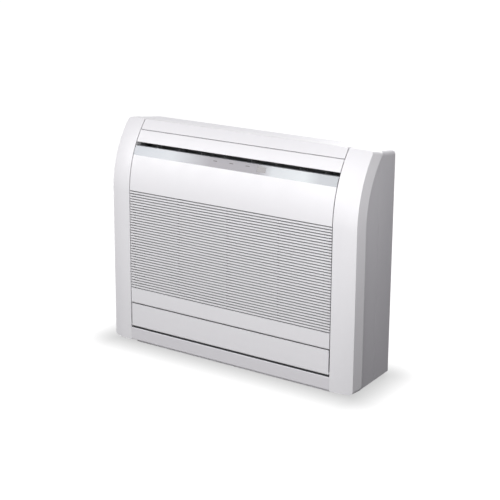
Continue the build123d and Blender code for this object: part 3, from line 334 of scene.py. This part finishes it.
# The front housing: the cabinet's plastic, screwed to the rear base. The frame that the door,
# the flap and the louvre close over carries painted shade, a flat grey between the end covers,
# so that slots and gaps read dark.
HOUSING_PAINTED_SHADE = (0.24, 0.237, 0.25)
SHADE_FOOT, SHADE_TOP = 0.012, 0.565
SHADE_UNDER_COVER = 0.001
SHADE_SIDE_EDGE, SHADE_LEVEL_EDGE = 0.0005, 0.002


def above(tree, value, edge, width):
    """0 below an edge, 1 above it, with a short ramp between."""
    step = tree.nodes.new("ShaderNodeMapRange")
    step.inputs["From Min"].default_value = edge - width / 2
    step.inputs["From Max"].default_value = edge + width / 2
    join(tree, (value, step.inputs["Value"]))
    return step.outputs["Result"]


def below(tree, value, edge, width):
    """1 below an edge, 0 above it, with a short ramp between."""
    return above(tree, value, edge, -width)


def overlap(tree, first, *others):
    """Where all the masks hold."""
    for other in others:
        both = tree.nodes.new("ShaderNodeMath")
        both.operation = "MULTIPLY"
        join(tree, (first, both.inputs[0]), (other, both.inputs[1]))
        first = both.outputs["Value"]
    return first


def bare(material):
    """A moulding's tree and colour socket, and where its surface lies and faces."""
    tree = material.node_tree
    colour = tree.nodes["Principled BSDF"].inputs["Base Color"]
    facing = tree.nodes.new("ShaderNodeNewGeometry")
    place = tree.nodes.new("ShaderNodeSeparateXYZ")
    normal = tree.nodes.new("ShaderNodeSeparateXYZ")
    join(
        tree,
        (own_place(tree), place.inputs["Vector"]),
        (facing.outputs["Normal"], normal.inputs["Vector"]),
    )
    return tree, colour, place.outputs, normal.outputs


def paint_shade(tree, socket, mask, colour):
    """Lays a flat colour as painted shade over what feeds a colour socket, wherever the mask
    holds.
    """
    shade_layer = tree.nodes.new("ShaderNodeMix")
    shade_layer.data_type = "RGBA"
    shade_layer.inputs["B"].default_value = (*colour, 1.0)
    under = socket.links[0].from_socket
    join(
        tree,
        (mask, shade_layer.inputs["Factor"]),
        (under, shade_layer.inputs["A"]),
        (shade_layer.outputs["Result"], socket),
    )


housing_white = moulded("housing_white", CABINET_WHITE, roughness=0.5, grain=CABINET_GRAIN)
tree, colour, place, normal = bare(housing_white)
cover_low, cover_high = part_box("right_side_cover")
from_middle = tree.nodes.new("ShaderNodeMath")
from_middle.operation = "ABSOLUTE"
join(tree, (place["X"], from_middle.inputs[0]))
half_width = cover_low[0] + SHADE_UNDER_COVER
frame_shade = overlap(
    tree,
    below(tree, from_middle.outputs["Value"], half_width, SHADE_SIDE_EDGE),
    above(tree, place["Z"], SHADE_FOOT, SHADE_LEVEL_EDGE),
    below(tree, place["Z"], SHADE_TOP, SHADE_LEVEL_EDGE),
)
# Painted shade: a flat grey over the frame between the end covers.
paint_shade(tree, colour, frame_shade, HOUSING_PAINTED_SHADE)
dress(housing_white, "front_housing")


# The air filters: a moulded frame with a fine woven net stretched over it, which slides in
# behind the door. The net is a pattern of dark holes between threads 1.2 mm apart.
NET_THREAD, NET_HOLE = (0.35, 0.345, 0.365), (0.085, 0.084, 0.09)
NET_WAVES = 262.0
filter_net, tree, shader = shell("filter_net", roughness=0.7)
coords = own_place(tree)
threads = []
for direction in ("X", "Z"):
    wave = tree.nodes.new("ShaderNodeTexWave")
    wave.wave_type = "BANDS"
    wave.bands_direction = direction
    wave.inputs["Scale"].default_value = NET_WAVES
    wave.inputs["Distortion"].default_value = 0.0
    join(tree, (coords, wave.inputs["Vector"]))
    threads.append(wave.outputs["Fac"])
weave = tree.nodes.new("ShaderNodeMath")
weave.operation = "MAXIMUM"
join(tree, (threads[0], weave.inputs[0]), (threads[1], weave.inputs[1]))
tint(tree, shader, weave.outputs["Value"], NET_HOLE, NET_THREAD)
raise_up(tree, shader, weave.outputs["Value"], distance=0.0003, strength=0.7)
dress(filter_net, "left_air_filter", "right_air_filter")


# The intake door: one white moulding, hinged along its lower edge. Its top return and the ribs
# behind its slots carry painted shade in flat grey, so that the air slot above the strip and the
# 38 slots read dark and even.
SKIN_WHITE = (0.805, 0.80, 0.818)
SKIN_ROUGHNESS = 0.42
LEDGE_PAINTED_SHADE = (0.20, 0.21, 0.225)
RIB_PAINTED_SHADE = (0.13, 0.128, 0.135)
LEDGE_DEPTH = 0.0006
FACE_THICKNESS = 0.0023
SLOTS_END = 0.43
DOOR_EDGE, SLOTS_EDGE = 0.0002, 0.002
FACING_UP, FACING_BACK, FACING_EDGE = 0.8, 0.5, 0.1
door_white = moulded("door_white", SKIN_WHITE, SKIN_ROUGHNESS)
tree, colour, place, normal = bare(door_white)
door_low, door_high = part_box("intake_grille")
ledge_shade = overlap(
    tree,
    above(tree, place["Z"], door_high[2] - LEDGE_DEPTH, DOOR_EDGE),
    above(tree, normal["Z"], FACING_UP, FACING_EDGE),
)
rib_shade = overlap(
    tree,
    above(tree, place["Y"], door_low[1] + FACE_THICKNESS, DOOR_EDGE),
    below(tree, place["Z"], SLOTS_END, SLOTS_EDGE),
    below(tree, normal["Y"], FACING_BACK, FACING_EDGE),
)
# Painted shade in grey on the top return and on the ribs behind the slots.
paint_shade(tree, colour, ledge_shade, LEDGE_PAINTED_SHADE)
paint_shade(tree, colour, rib_shade, RIB_PAINTED_SHADE)
dress(door_white, "intake_grille")


# The display strip: a band of silver film under clear lacquer, pressed into a recess along the
# top of the door. Its colour shifts from blue grey to mauve and back along its length, a painted
# reflection on the metallic film.
BLUE_GREY = (0.285, 0.297, 0.32)
PALE_SILVER = (0.315, 0.326, 0.342)
MAUVE_GREY = (0.165, 0.158, 0.172)
BRIGHT_SILVER = (0.37, 0.387, 0.40)
END_SILVER = (0.28, 0.29, 0.305)
strip_silver, tree, shader = shell("strip_silver", roughness=0.42, metallic=0.35)
strip_low, strip_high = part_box("display_strip")
coords = own_place(tree)
split = tree.nodes.new("ShaderNodeSeparateXYZ")
along = tree.nodes.new("ShaderNodeMapRange")
along.inputs["From Min"].default_value = strip_low[0]
along.inputs["From Max"].default_value = strip_high[0]
# A painted reflection: the band's colour runs from blue grey through mauve to bright silver.
reflection_ramp = tree.nodes.new("ShaderNodeValToRGB")
stops = reflection_ramp.color_ramp.elements
stops[0].color = (*BLUE_GREY, 1.0)
stops[1].color = (*END_SILVER, 1.0)
for position, tone in (
    (0.20, PALE_SILVER),
    (0.40, MAUVE_GREY),
    (0.64, MAUVE_GREY),
    (0.70, PALE_SILVER),
    (0.85, BRIGHT_SILVER),
    (0.92, END_SILVER),
):
    stops.new(position).color = (*tone, 1.0)
join(
    tree,
    (coords, split.inputs["Vector"]),
    (split.outputs["X"], along.inputs["Value"]),
    (along.outputs["Result"], reflection_ramp.inputs["Fac"]),
    (reflection_ramp.outputs["Color"], shader.inputs["Base Color"]),
)
flake = noise(tree, coords, scale=2500.0, detail=1.0)
raise_up(tree, shader, flake, distance=0.00002, strength=0.4)
shader.inputs["Coat Weight"].default_value = 0.25
shader.inputs["Coat Roughness"].default_value = 0.2
dress(strip_silver, "display_strip")


# The receiver window: smoked mauve acrylic pressed into the strip, clear enough to let the
# remote control's light through to the sensor behind it.
WINDOW_DARK, WINDOW_PALE = (0.042, 0.03, 0.037), (0.055, 0.041, 0.05)
window_tint, tree, shader = shell("window_tint", roughness=0.16)
tint(tree, shader, noise(tree, own_place(tree), scale=90.0), WINDOW_DARK, WINDOW_PALE)
shader.inputs["Coat Weight"].default_value = 0.5
dress(window_tint, "receiver_window")


# The indicator lamps: three narrow lenses of smoked acrylic, pressed into the strip from behind
# and unlit.
LENS_DARK, LENS_PALE = (0.045, 0.038, 0.041), (0.07, 0.06, 0.064)
lamp_lens, tree, shader = shell("lamp_lens", roughness=0.25)
tint(tree, shader, noise(tree, own_place(tree), scale=800.0), LENS_DARK, LENS_PALE)
dress(lamp_lens, "indicator_lamps")


# The lower front panel: a white moulding, clipped on at floor level, coloured a little greyer
# than the other whites as painted shade near the floor. Its top edge, which shows in the gap
# under the flap, carries dark painted shade.
PANEL_SHADED_WHITE = (0.715, 0.705, 0.728)
PANEL_PAINTED_SHADE = (0.08, 0.082, 0.088)
PANEL_SHADE_DEPTH = 0.0017
PANEL_SHADE_EDGE, PANEL_FACING_UP = 0.0005, 0.7
panel_shaded_white = moulded("panel_shaded_white", PANEL_SHADED_WHITE, roughness=0.45)
tree, colour, place, normal = bare(panel_shaded_white)
panel_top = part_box("lower_front_panel")[1][2]
# Painted shade: a dark band along the top edge, in the gap under the flap.
top_edge_shade = overlap(
    tree,
    above(tree, place["Z"], panel_top - PANEL_SHADE_DEPTH, PANEL_SHADE_EDGE),
    above(tree, normal["Z"], PANEL_FACING_UP, FACING_EDGE),
)
paint_shade(tree, colour, top_edge_shade, PANEL_PAINTED_SHADE)
dress(panel_shaded_white, "lower_front_panel")


# The louvre, the flap, the rail and the two end covers: white mouldings with the door's finish.
# Louvre and flap turn on pins in the housing, the rail clips on, and the covers snap over all.
cover_white = moulded("cover_white", SKIN_WHITE, SKIN_ROUGHNESS)
dress(cover_white, "upper_louvre", "lower_flap", "top_rail")
dress(cover_white, "left_side_cover", "right_side_cover")


# The surround: a white world that the camera and reflections see at full strength, while it
# lights the object only faintly, in a slightly violet white.
DIM_WHITE, FULL_WHITE = (0.98, 0.92, 1.0), (1.0, 1.0, 1.0)
DIM_LEVEL, FULL_LEVEL = 0.2, 1.0
white_world = bpy.data.worlds.new("white_surround")
bpy.context.scene.world = white_world
white_world.use_nodes = True
sky = white_world.node_tree
backdrop = sky.nodes["Background"]
paths = sky.nodes.new("ShaderNodeLightPath")
seen = paths.outputs["Is Camera Ray"]
for mirrored in ("Is Glossy Ray", "Is Transmission Ray"):
    either = sky.nodes.new("ShaderNodeMath")
    either.operation = "MAXIMUM"
    join(sky, (seen, either.inputs[0]), (paths.outputs[mirrored], either.inputs[1]))
    seen = either.outputs["Value"]
level = sky.nodes.new("ShaderNodeMapRange")
level.inputs["To Min"].default_value = DIM_LEVEL
level.inputs["To Max"].default_value = FULL_LEVEL
join(
    sky,
    (seen, level.inputs["Value"]),
    (two_tone(sky, seen, DIM_WHITE, FULL_WHITE), backdrop.inputs["Color"]),
    (level.outputs["Result"], backdrop.inputs["Strength"]),
)


# The floor: a wide matt sheet that shows white to the camera and keeps the object's shadow.
# Its white fades within 120 mm of the base into a painted contact shadow where the tray stands.
FLOOR_REACH = 9.0
FLOOR_GREY = (0.10, 0.10, 0.10)
BASE_INSET = 0.02
PAINTED_SHADOW_WIDTH = 0.12
GLOW_IN_PAINTED_SHADOW, GLOW_AWAY = 0.6, 1.0
corners = [(-1, -1), (1, -1), (1, 1), (-1, 1)]
floor_mesh = bpy.data.meshes.new("studio_floor")
floor_mesh.from_pydata(
    [(FLOOR_REACH * x, FLOOR_REACH * y, 0) for x, y in corners], [], [(0, 1, 2, 3)]
)
floor = bpy.data.objects.new("studio_floor", floor_mesh)
bpy.context.scene.collection.objects.link(floor)
floor_white, tree, shader = shell("floor_white", roughness=0.9)
shader.inputs["Base Color"].default_value = (*FLOOR_GREY, 1.0)
shader.inputs["Specular IOR Level"].default_value = 0.1
shader.inputs["Emission Color"].default_value = (*FULL_WHITE, 1.0)
folded, beyond, outside, reach = [tree.nodes.new("ShaderNodeVectorMath") for step in range(4)]
folded.operation = "ABSOLUTE"
beyond.operation = "SUBTRACT"
beyond.inputs[1].default_value = (cover_high[0] - BASE_INSET, -cover_low[1] - BASE_INSET, 0.0)
outside.operation = "MAXIMUM"
reach.operation = "LENGTH"
# Painted contact shadow: the floor's white dims within this width of the base.
out_of_shadow = tree.nodes.new("ShaderNodeMapRange")
out_of_shadow.interpolation_type = "SMOOTHSTEP"
out_of_shadow.inputs["From Min"].default_value = 0.0
out_of_shadow.inputs["From Max"].default_value = PAINTED_SHADOW_WIDTH
glow = tree.nodes.new("ShaderNodeMapRange")
glow.inputs["To Min"].default_value = GLOW_IN_PAINTED_SHADOW
glow.inputs["To Max"].default_value = GLOW_AWAY
paths = tree.nodes.new("ShaderNodeLightPath")
lift = tree.nodes.new("ShaderNodeMath")
lift.operation = "MULTIPLY"
join(
    tree,
    (own_place(tree), folded.inputs[0]),
    (folded.outputs["Vector"], beyond.inputs[0]),
    (beyond.outputs["Vector"], outside.inputs[0]),
    (outside.outputs["Vector"], reach.inputs[0]),
    (reach.outputs["Value"], out_of_shadow.inputs["Value"]),
    (out_of_shadow.outputs["Result"], glow.inputs["Value"]),
    (glow.outputs["Result"], lift.inputs[0]),
    (paths.outputs["Is Camera Ray"], lift.inputs[1]),
    (lift.outputs["Value"], shader.inputs["Emission Strength"]),
)
floor_mesh.materials.append(floor_white)


# The lamps: five square softboxes, unseen by the camera. Three stand in front, the key one on
# the left, one stands behind, and a small one lifts the right end.
def softbox(name, where, aim, side, watts):
    """A square area lamp, aimed at a point."""
    lamp = bpy.data.lights.new(name, "AREA")
    lamp.shape = "RECTANGLE"
    lamp.size = lamp.size_y = side
    lamp.energy = watts
    holder = bpy.data.objects.new(name, lamp)
    holder.location = where
    holder.visible_camera = False
    holder.rotation_euler = (Vector(aim) - Vector(where)).to_track_quat("-Z", "Y").to_euler()
    bpy.context.scene.collection.objects.link(holder)


softbox("key_lamp", where=(-1.3, -1.6, 1.4), aim=(0.0, 0.0, 0.35), side=1.0, watts=19.6)
softbox("front_lamp", where=(-0.1, -1.4, 1.15), aim=(0.0, 0.0, 0.35), side=1.0, watts=7.0)
softbox("low_lamp", where=(0.6, -2.0, 0.6), aim=(0.0, 0.0, 0.3), side=1.0, watts=12.4)
softbox("back_lamp", where=(0.0, 1.65, 1.25), aim=(0.0, 0.0, 0.45), side=1.0, watts=29.0)
softbox("side_lamp", where=(0.88, -0.42, 0.8), aim=(0.37, 0.0, 0.45), side=0.35, watts=2.35)


# The photograph's camera: a long lens 1.3 m above the floor, 35 degrees to the cabinet's right
# and tipped 14 degrees down, with the frame shifted as the crop needs.
PHOTO_SIDE = 500.0
FOCAL_LENGTH = 1287.53
SENSOR_WIDTH = 36.0
STAND = (1.7127, -2.6470, 1.2728)
yaw, pitch, roll = radians(35.097), radians(14.253), radians(-0.172)
ahead = Vector((-sin(yaw) * cos(pitch), cos(yaw) * cos(pitch), -sin(pitch)))
level_right = Vector((cos(yaw), sin(yaw), 0.0))
level_top = level_right.cross(ahead)
right = level_right * cos(roll) + level_top * sin(roll)
top = level_top * cos(roll) - level_right * sin(roll)
turn = Matrix((right, top, -ahead)).transposed().to_4x4()
lens = bpy.data.cameras.new("photo_camera")
lens.lens = FOCAL_LENGTH * SENSOR_WIDTH / PHOTO_SIDE
lens.shift_x = 0.10
lens.shift_y = -0.14
camera = bpy.data.objects.new("photo_camera", lens)
camera.matrix_world = Matrix.Translation(STAND) @ turn
bpy.context.scene.collection.objects.link(camera)
bpy.context.scene.camera = camera
bpy.context.scene.view_settings.view_transform = "Standard"
